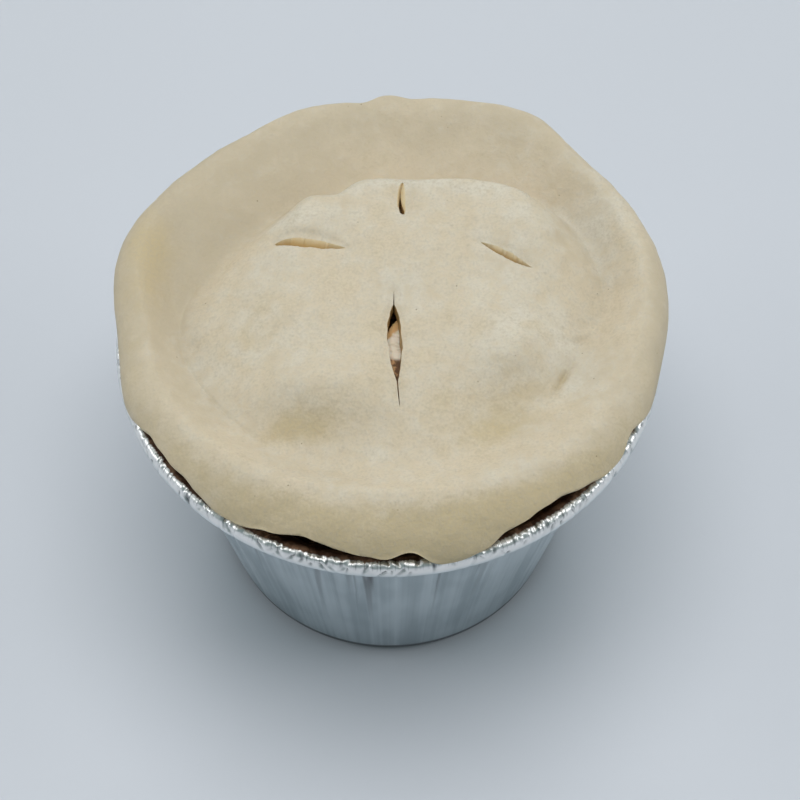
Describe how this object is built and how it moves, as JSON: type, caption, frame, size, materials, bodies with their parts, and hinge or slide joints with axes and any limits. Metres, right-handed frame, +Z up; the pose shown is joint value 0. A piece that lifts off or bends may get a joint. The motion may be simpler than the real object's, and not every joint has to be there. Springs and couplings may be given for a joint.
{
  "type": "chicken pot pie",
  "caption": "Deep single pot pie in a pleated foil cup with a rolled rim, topped by a thick draped raw pastry lid with leaf-shaped vent slits that show the filling.",
  "frame": {"origin": "middle of the cup's flat base, on the surface it stands on", "axes": "+Z up through the pie, -Y towards the longest vent slit, +X to its right"},
  "size_m": [0.1031, 0.102, 0.0781],
  "materials": {
    "foil": "bright crinkled foil",
    "filling": null,
    "dough": null
  },
  "bodies": {
    "root": {"foil_cup": "foil", "filling": "filling", "pastry_lid": "dough"}
  },
  "joints": []
}
